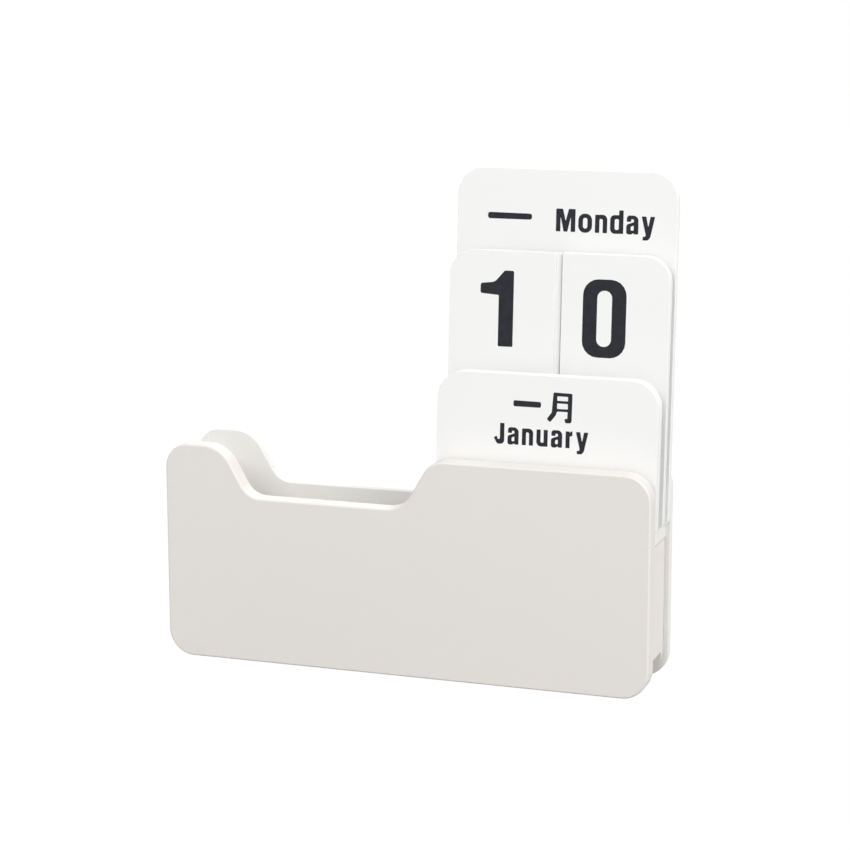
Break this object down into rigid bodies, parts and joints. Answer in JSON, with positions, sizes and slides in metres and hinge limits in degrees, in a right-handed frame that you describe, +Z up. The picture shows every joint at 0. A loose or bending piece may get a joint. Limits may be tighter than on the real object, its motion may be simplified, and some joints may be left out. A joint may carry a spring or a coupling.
{
  "type": "desk calendar with drawer",
  "caption": "Perpetual desk calendar: rounded plates over a recessed core, open tray, leaning rack of month, date and weekday cards, and a small drawer at one end.",
  "frame": {"origin": "on the desk, under the middle of the whole object's box", "axes": "+X along the front to the drawer end, +Y from the front plate to the back plate, +Z up"},
  "size_m": [0.15, 0.0294, 0.1487],
  "materials": {
    "case_plastic": "fine satin moulded plastic, warm off-white",
    "core_plastic": "satin moulded plastic, off-white",
    "drawer_plastic": "satin moulded plastic, warm off-white",
    "card_plastic": "smooth white plastic card, printed in black"
  },
  "bodies": {
    "case": {"front_plate": "case_plastic", "back_plate": "core_plastic", "core": "core_plastic", "card_rack": "core_plastic"},
    "drawer": {"drawer": "drawer_plastic"},
    "month_front": {"month_card_1": "card_plastic"},
    "month_spares": {"month_card_2": "card_plastic", "month_card_3": "card_plastic", "month_card_4": "card_plastic", "month_card_5": "card_plastic", "month_card_6": "card_plastic"},
    "tens_front": {"tens_card_1": "card_plastic"},
    "tens_spare": {"tens_card_2": "card_plastic"},
    "units_front": {"units_card_1": "card_plastic"},
    "units_spares": {"units_card_2": "card_plastic", "units_card_3": "card_plastic", "units_card_4": "card_plastic", "units_card_5": "card_plastic"},
    "weekday_front": {"weekday_card_1": "card_plastic"},
    "weekday_spares": {"weekday_card_2": "card_plastic", "weekday_card_3": "card_plastic", "weekday_card_4": "card_plastic"}
  },
  "joints": [
    {"name": "drawer_slide", "type": "slide", "parent": "case", "child": "drawer", "axis": [1, 0, 0], "range_m": [0, 0.05]},
    {"name": "month_front_lift", "type": "slide", "parent": "case", "child": "month_front", "axis": [0, 0.0633, 0.998], "range_m": [0, 0.025]},
    {"name": "month_spares_lift", "type": "slide", "parent": "case", "child": "month_spares", "axis": [0, 0.0633, 0.998], "range_m": [0, 0.025]},
    {"name": "tens_front_lift", "type": "slide", "parent": "case", "child": "tens_front", "axis": [0, 0.0633, 0.998], "range_m": [0, 0.025]},
    {"name": "tens_spare_lift", "type": "slide", "parent": "case", "child": "tens_spare", "axis": [0, 0.0633, 0.998], "range_m": [0, 0.025]},
    {"name": "units_front_lift", "type": "slide", "parent": "case", "child": "units_front", "axis": [0, 0.0633, 0.998], "range_m": [0, 0.025]},
    {"name": "units_spares_lift", "type": "slide", "parent": "case", "child": "units_spares", "axis": [0, 0.0633, 0.998], "range_m": [0, 0.025]},
    {"name": "weekday_front_lift", "type": "slide", "parent": "case", "child": "weekday_front", "axis": [0, 0.0633, 0.998], "range_m": [0, 0.025]},
    {"name": "weekday_spares_lift", "type": "slide", "parent": "case", "child": "weekday_spares", "axis": [0, 0.0633, 0.998], "range_m": [0, 0.025]}
  ]
}
